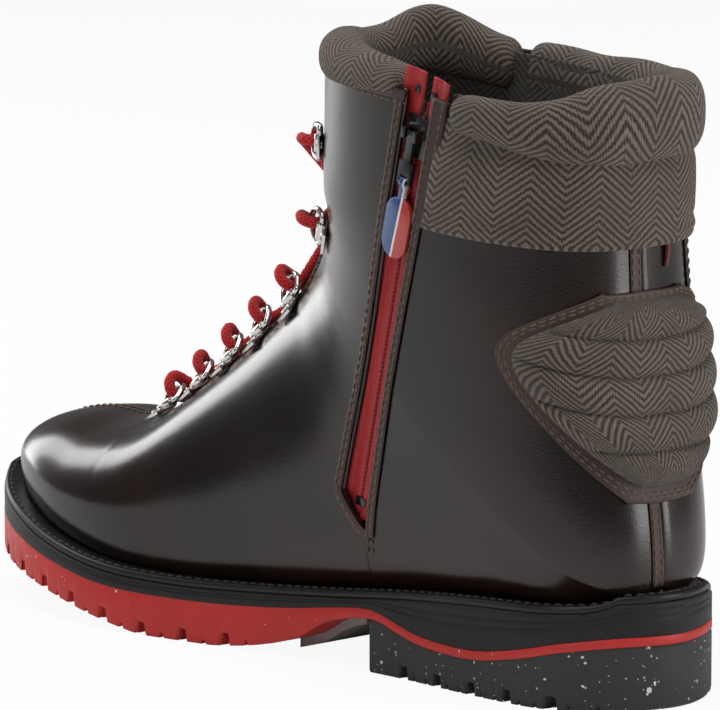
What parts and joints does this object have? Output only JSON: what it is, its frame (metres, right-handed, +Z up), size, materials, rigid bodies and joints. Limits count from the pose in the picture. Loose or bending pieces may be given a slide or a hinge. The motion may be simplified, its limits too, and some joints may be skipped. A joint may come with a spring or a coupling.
{
  "type": "hiking boot",
  "caption": "Ankle-high leather hiking boot with ring lacing, an inner side zip, a padded tweed collar and heel pad, and a lugged two-part rubber sole.",
  "frame": {"origin": "centre of the bounding box's base, on the ground", "axes": "+Z up, toe towards -X, heel towards +X, inner side of the foot towards -Y"},
  "size_m": [0.3015, 0.1076, 0.2057],
  "materials": {
    "red_rubber": "matte with fine white speckles",
    "heel_rubber": "matte dark grey with white and tan speckles",
    "grey_rubber": "matte",
    "black_rubber": "matte black",
    "welt_rubber": "matte black with a stitched edge",
    "leather": "polished very dark brown",
    "brown_leather": "matte dark brown",
    "tweed": "herringbone wool tweed",
    "lining": "black brushed textile",
    "foam": "soft foam",
    "board": "fibre board",
    "stiffener": "thermoplastic sheet",
    "shank_steel": "plain",
    "zip_tape": "woven red tape",
    "zip_teeth": "dark red moulded",
    "zip_metal": "gloss black",
    "pull_metal": "satin dark grey",
    "tag_enamel": "gloss enamel in two colours",
    "steel": "polished",
    "lace_cord": "round braided cord",
    "tag_fabric": "woven tape"
  },
  "bodies": {
    "boot": {"outsole": "red_rubber", "heel_block": "heel_rubber", "arch_plate": "grey_rubber", "midsole": "black_rubber", "shank": "shank_steel", "welt": "welt_rubber", "insole_board": "board", "footbed": "foam", "toe_puff": "stiffener", "heel_counter": "stiffener", "vamp_medial": "leather", "quarter_medial": "leather", "quarter_lateral": "leather", "shaft_lateral": "leather", "back_lateral": "leather", "zip_base": "leather", "lining_front": "lining", "lining_rear": "lining", "ankle_foam": "foam", "tongue": "tweed", "throat_binding": "brown_leather", "heel_pad_trim": "brown_leather", "heel_pad": "tweed", "collar_cuff": "tweed", "collar_roll": "tweed", "tongue_roll": "tweed", "cuff_strip": "brown_leather", "rear_tag": "tag_fabric", "zip_placket": "brown_leather", "zip_tape_front": "zip_tape", "zip_tape_rear": "zip_tape", "zip_chain": "zip_teeth", "zip_stops": "steel", "ring_clips": "steel", "ring_rivets": "steel", "lace": "lace_cord", "lace_aglets": "steel"},
    "slider": {"zip_slider": "zip_metal"},
    "pull": {"zip_pull": "pull_metal"},
    "tag": {"pull_tag": "tag_enamel"},
    "ring_m1": {"ring_m1": "steel"},
    "ring_m2": {"ring_m2": "steel"},
    "ring_m3": {"ring_m3": "steel"},
    "ring_m4": {"ring_m4": "steel"},
    "ring_m5": {"ring_m5": "steel"},
    "ring_m6": {"ring_m6": "steel"},
    "ring_m7": {"ring_m7": "steel"},
    "ring_l1": {"ring_l1": "steel"},
    "ring_l2": {"ring_l2": "steel"},
    "ring_l3": {"ring_l3": "steel"},
    "ring_l4": {"ring_l4": "steel"},
    "ring_l5": {"ring_l5": "steel"},
    "ring_l6": {"ring_l6": "steel"},
    "ring_l7": {"ring_l7": "steel"}
  },
  "joints": [
    {"name": "zip_slide", "type": "slide", "parent": "boot", "child": "slider", "axis": [0.2591, -0.0415, 0.965], "range_m": [-0.112, 0]},
    {"name": "pull_hinge", "type": "hinge", "parent": "slider", "child": "pull", "pos_m": [0.07532, -0.04635, 0.17458], "axis": [-0.9658, 0, 0.2593], "range_deg": [0, 130]},
    {"name": "tag_hinge", "type": "hinge", "parent": "pull", "child": "tag", "pos_m": [0.07118, -0.04568, 0.15914], "axis": [-0.9658, 0, 0.2593], "range_deg": [0, 80]},
    {"name": "ring_m1_hinge", "type": "hinge", "parent": "boot", "child": "ring_m1", "pos_m": [-0.07387, -0.01592, 0.06871], "axis": [0.9069, -0.0467, 0.4188], "range_deg": [-5, 5]},
    {"name": "ring_m2_hinge", "type": "hinge", "parent": "boot", "child": "ring_m2", "pos_m": [-0.05818, -0.01601, 0.07786], "axis": [0.828, -0.0911, 0.5533], "range_deg": [-5, 5]},
    {"name": "ring_m3_hinge", "type": "hinge", "parent": "boot", "child": "ring_m3", "pos_m": [-0.04298, -0.01632, 0.08799], "axis": [0.8412, -0.0987, 0.5316], "range_deg": [-5, 5]},
    {"name": "ring_m4_hinge", "type": "hinge", "parent": "boot", "child": "ring_m4", "pos_m": [-0.02785, -0.01675, 0.09852], "axis": [0.8185, -0.1107, 0.5638], "range_deg": [-5, 5]},
    {"name": "ring_m5_hinge", "type": "hinge", "parent": "boot", "child": "ring_m5", "pos_m": [-0.01192, -0.01754, 0.11103], "axis": [0.7621, -0.073, 0.6433], "range_deg": [-5, 5]},
    {"name": "ring_m6_hinge", "type": "hinge", "parent": "boot", "child": "ring_m6", "pos_m": [0.0072, -0.02149, 0.13522], "axis": [0.3637, -0.1922, 0.9115], "range_deg": [-5, 5]},
    {"name": "ring_m7_hinge", "type": "hinge", "parent": "boot", "child": "ring_m7", "pos_m": [0.00914, -0.02394, 0.16392], "axis": [0.0495, -0.0114, 0.9987], "range_deg": [-5, 5]},
    {"name": "ring_l1_hinge", "type": "hinge", "parent": "boot", "child": "ring_l1", "pos_m": [-0.07384, 0.01594, 0.06847], "axis": [-0.9054, -0.0505, -0.4215], "range_deg": [-5, 5]},
    {"name": "ring_l2_hinge", "type": "hinge", "parent": "boot", "child": "ring_l2", "pos_m": [-0.05818, 0.01599, 0.07778], "axis": [-0.8226, -0.0899, -0.5615], "range_deg": [-5, 5]},
    {"name": "ring_l3_hinge", "type": "hinge", "parent": "boot", "child": "ring_l3", "pos_m": [-0.04302, 0.01629, 0.08806], "axis": [-0.8368, -0.0922, -0.5397], "range_deg": [-5, 5]},
    {"name": "ring_l4_hinge", "type": "hinge", "parent": "boot", "child": "ring_l4", "pos_m": [-0.02787, 0.01673, 0.09862], "axis": [-0.8214, -0.0995, -0.5615], "range_deg": [-5, 5]},
    {"name": "ring_l5_hinge", "type": "hinge", "parent": "boot", "child": "ring_l5", "pos_m": [-0.0112, 0.01756, 0.11039], "axis": [-0.8185, -0.0163, -0.5742], "range_deg": [-5, 5]},
    {"name": "ring_l6_hinge", "type": "hinge", "parent": "boot", "child": "ring_l6", "pos_m": [0.01351, 0.02129, 0.13106], "axis": [-0.4199, -0.2021, -0.8848], "range_deg": [-5, 5]},
    {"name": "ring_l7_hinge", "type": "hinge", "parent": "boot", "child": "ring_l7", "pos_m": [0.01363, 0.02391, 0.1636], "axis": [-0.0478, -0.0174, -0.9987], "range_deg": [-5, 5]}
  ]
}
